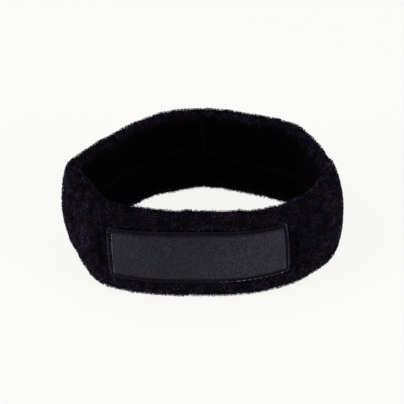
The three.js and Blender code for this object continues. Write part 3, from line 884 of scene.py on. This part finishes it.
# ------------------------------------------------------------------ elastic
def elastic():
    """The corded elastic inside the sleeve, and the zigzag over its lapped ends."""
    s = np.arange(0, GIRTH, GIRTH / 300)
    z = np.linspace(ELASTIC_LOW, ELASTIC_HIGH, ELASTIC_ROWS)
    cord = ELASTIC_CORDING * np.cos(np.arange(ELASTIC_ROWS) * math.pi)
    n = np.r_[ELASTIC_HALF + cord, (-ELASTIC_HALF - cord)[::-1]]
    zz = np.r_[z, z[::-1]]
    ob = swept("elastic_band", wrap(s[:, None], n[None] + 0 * s[:, None], zz[None] + 0 * s[:, None]),
               ELASTIC_WEBBING, True)
    turns = np.arange(ZIGZAG_TURNS)
    t = np.linspace(0, ZIGZAG_TURNS - 1, 200)
    zig_s = CENTRE_BACK + np.interp(t, turns, np.where(turns % 2, ZIGZAG_HALF, -ZIGZAG_HALF))
    zig_z = np.interp(t, turns, np.linspace(ZIGZAG_LOW, ZIGZAG_HIGH, ZIGZAG_TURNS))
    carrier = line_carrier(zig_s, -0.85, zig_z, False)
    zig = grown("elastic_zigzag", carrier, STITCHES, "Thread", SEAM_THREAD, Pitch=0.0021,
                Stitch_length=0.0022, Thread_radius=0.00018, Seed=4)
    return ob, zig


# ------------------------------------------------------------------ patch
def flat_cloth(name, length, height, inner, outer, material, hem=0.0):
    """A thin cloth on the wall with rounded edges, mapped flat in millimetres; its ends may be hemmed."""
    s = np.linspace(-length / 2, length / 2, int(length / CLOTH_STEP) + 1)
    rows = int(height / CLOTH_STEP) + 1
    v = np.linspace(-height / 2, height / 2, rows)
    thick = outer - inner
    edge_s = np.clip((length / 2 - np.abs(s)) / SOFT_EDGE, 0, 1)
    edge_z = np.clip((height / 2 - np.abs(v)) / SOFT_EDGE, 0, 1)
    soft = np.sqrt(np.clip(1 - (1 - np.minimum(edge_s[:, None], edge_z[None])) ** 2, 0, 1))
    top = inner + thick * (0.35 + 0.65 * soft)
    top = top + hem * bump(length / 2 - np.abs(s), 0.75, 0.42)[:, None]
    top = top + 0.12 * ripple(s[:, None], v[None], [(11, 0.02, 1, 0.5), (17, 0.033, 0.7, 2.2)]) * soft
    ss, vv = np.broadcast_arrays(s[:, None], v[None])
    sewn_s, sewn_z = as_sewn(ss, vv + PATCH_MIDDLE)
    outer_at = wrap(sewn_s, top, sewn_z)
    inner_at = wrap(sewn_s, inner + 0 * top, sewn_z)
    verts = np.vstack([outer_at.reshape(-1, 3), inner_at.reshape(-1, 3)])
    rings = len(s)
    faces = grid_faces(rings, rows, False, False)
    off = rings * rows
    faces += [[off + q for q in f[::-1]] for f in grid_faces(rings, rows, False, False)]
    rim = [i * rows for i in range(rings)] + [(rings - 1) * rows + j for j in range(1, rows)]
    rim += [i * rows + rows - 1 for i in range(rings - 2, -1, -1)] + [j for j in range(rows - 2, 0, -1)]
    for k, a in enumerate(rim):
        b = rim[(k + 1) % len(rim)]
        faces.append([b, a, off + a, off + b])
    ob = new_mesh(name, verts, faces)
    ob.data.materials.append(material)
    uv = ob.data.uv_layers.new(name="flat_cut")
    flat = np.tile(np.stack([ss.ravel(), vv.ravel()], -1), (2, 1))
    idx = np.empty(len(ob.data.loops), np.int32)
    ob.data.loops.foreach_get("vertex_index", idx)
    uv.data.foreach_set("uv", flat[idx].astype(np.float32).ravel())
    return ob


def patch():
    """The backing and panel, the binding round them, and their rows of stitches."""
    backing = flat_cloth("patch_twill_backing", PATCH_LENGTH - BACKING_TUCKED, PATCH_HEIGHT - BACKING_TUCKED,
                         BACKING_IN, BACKING_OUT, BACKING_CLOTH)
    panel = flat_cloth("patch_woven_panel", PANEL_LENGTH, PANEL_HEIGHT, PANEL_IN, PANEL_OUT, PANEL_CLOTH,
                       hem=0.3)
    s, z = rectangle(PATCH_LENGTH - 1.0, PATCH_HEIGHT - 1.0, 1.0)
    core = cord_round("patch_binding_cord", s, z, BACKING_IN, 0.85, 1.05, BINDING_CORD)
    at_ends = smooth_step(PATCH_LENGTH / 2 - 2.5, PATCH_LENGTH / 2 - 1, np.abs(s))
    # painted highlight: palest at the right end, less at the left and below, and dark above
    painted_highlight = np.maximum(at_ends * at_end(s, (0.6, 1.0)), 0.06 * (z < PATCH_MIDDLE))
    set_attribute(core, "lit", np.repeat(painted_highlight, CORD_CORNERS))
    wraps = grown("patch_binding_wraps", sewn_line(s, BACKING_IN + 0.72, z, painted_highlight), STITCHES, "Thread",
                  BINDING_THREAD, Pitch=0.00072, Stitch_length=0.00125, Thread_radius=0.00036,
                  Slant=math.pi / 2 + 0.25, Seed=6)
    # painted light: pale along the lower edge, most of all towards its right end
    painted_light = smooth_step(4, 24, s) * smooth_step(PATCH_MIDDLE, PATCH_MIDDLE - 8, z) * (1 - at_ends)
    run = grown("binding_run_stitches", sewn_line(s, BACKING_IN + 1.1, z, painted_light), STITCHES, "Thread",
                STITCH_THREAD, Pitch=0.0031, Stitch_length=0.0022, Thread_radius=0.0002, Seed=12)
    s, z = rectangle(PANEL_LENGTH + 1.3, PANEL_HEIGHT + 1.3, 0.6)
    sewing = grown("patch_sewing_stitches", sewn_line(s, BACKING_OUT + 0.12, z), STITCHES, "Thread",
                   SEWING_THREAD, Pitch=0.0026, Stitch_length=0.0021, Thread_radius=0.00028, Seed=9)
    s, z = rectangle(PANEL_LENGTH - 1.1, PANEL_HEIGHT - 1.1, 0.4)
    # painted highlight: the thread is lit on the left end's raised hem, a little on the right, and dark
    # elsewhere
    hem = smooth_step(PANEL_LENGTH / 2 - 1.1, PANEL_LENGTH / 2 - 0.7, np.abs(s)) * at_end(s, (0.9, 0.6))
    edge = grown("panel_edge_stitches", sewn_line(s, PANEL_OUT + 0.16, z, hem), STITCHES, "Thread",
                 STITCH_THREAD, Pitch=0.0017, Stitch_length=0.0013, Thread_radius=0.00022, Seed=2)
    return backing, panel, core, wraps, sewing, edge, run


def sewn_line(s, n, z, lit=0.0):
    """A closed line of stitches on the patch, as sewn."""
    sewn_s, sewn_z = as_sewn(s, z)
    return line_carrier(sewn_s, n, sewn_z, True, lit)


# ------------------------------------------------------------------ build
cloth, s_all, pile = terry_cloth()
loops = terry_pile(cloth, s_all, pile)
seam, seam_threads = closing_seam()
join, join_threads = join_seam()
band, zigzag = elastic()
backing, panel, binding, wraps, sewing, edge_stitches, run_stitches = patch()

for piece in [cloth, seam, seam_threads, band] + loops:
    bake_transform(piece)
for piece in (backing, panel, binding, wraps, sewing, edge_stitches, run_stitches):
    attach(piece, "front_half")
for piece in (join, join_threads, zigzag):
    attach(piece, "back_half")

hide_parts("terry_sleeve_front", "terry_sleeve_back")
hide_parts("closing_seam_front", "closing_seam_back_right", "closing_seam_back_left")
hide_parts("centre_back_join_seam")
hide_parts("elastic_strip_front", "elastic_strip_back")
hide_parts("elastic_join_stitching")
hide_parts("patch_backing")
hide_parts("patch_panel")
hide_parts("patch_edge_binding")
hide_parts("patch_sewing_line")
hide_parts("panel_edge_stitching")


# ------------------------------------------------------------------ stage, lights, camera
def pale_floor():
    me = bpy.data.meshes.new("studio_floor")
    me.from_pydata([(-4, -4, 0), (4, -4, 0), (4, 4, 0), (-4, 4, 0)], [], [(0, 1, 2, 3)])
    ob = bpy.data.objects.new("studio_floor", me)
    bpy.context.scene.collection.objects.link(ob)
    m = bpy.data.materials.new("pale_floor")
    m.use_nodes = True
    p = m.node_tree.nodes["Principled BSDF"]
    p.inputs["Base Color"].default_value = (0.1, 0.1, 0.099, 1)
    p.inputs["Roughness"].default_value = 0.9
    p.inputs["Specular IOR Level"].default_value = 0.0
    p.inputs["Emission Color"].default_value = (1.0, 1.0, 0.985, 1)
    p.inputs["Emission Strength"].default_value = 0.885
    me.materials.append(m)


def soft_light(name, place, size, power, colour=(1, 1, 1)):
    data = bpy.data.lights.new(name, "AREA")
    data.shape = "SQUARE"
    data.size = size
    data.energy = power
    data.color = colour
    ob = bpy.data.objects.new(name, data)
    ob.location = place
    ob.rotation_mode = "QUATERNION"
    ob.rotation_quaternion = (Vector((0, 0, 0.02)) - Vector(place)).to_track_quat("-Z", "Y")
    bpy.context.scene.collection.objects.link(ob)


pale_floor()
world = bpy.data.worlds.new("studio")
world.use_nodes = True
world.node_tree.nodes["Background"].inputs["Color"].default_value = (1, 1, 1, 1)
world.node_tree.nodes["Background"].inputs["Strength"].default_value = 0.5
bpy.context.scene.world = world
soft_light("left_softbox", (-1.3, -0.75, 0.5), 0.7, 15, (0.86, 0.9, 1.0))
soft_light("right_softbox", (1.2, -0.9, 0.4), 0.6, 9, (1.0, 0.92, 1.0))
bpy.context.scene.view_settings.view_transform = "Standard"

camera = bpy.data.cameras.new("camera")
camera.sensor_width = 36
ELEVATION, AZIMUTH, DISTANCE = 29.4, 0.6, 1.37
VIEW_WIDTH = 0.22137  # metres seen from side to side at the band
camera.lens = camera.sensor_width * DISTANCE / VIEW_WIDTH
cam = bpy.data.objects.new("camera", camera)
target = Vector((0, -0.0012, MIDDLE / 1000 - 0.0011))
rise, turn = math.radians(ELEVATION), math.radians(AZIMUTH)
away = Vector((math.sin(turn) * math.cos(rise), -math.cos(turn) * math.cos(rise), math.sin(rise)))
cam.location = target + away * DISTANCE
cam.rotation_mode = "QUATERNION"
cam.rotation_quaternion = (-away).to_track_quat("-Z", "Y")
bpy.context.scene.collection.objects.link(cam)
bpy.context.scene.camera = cam
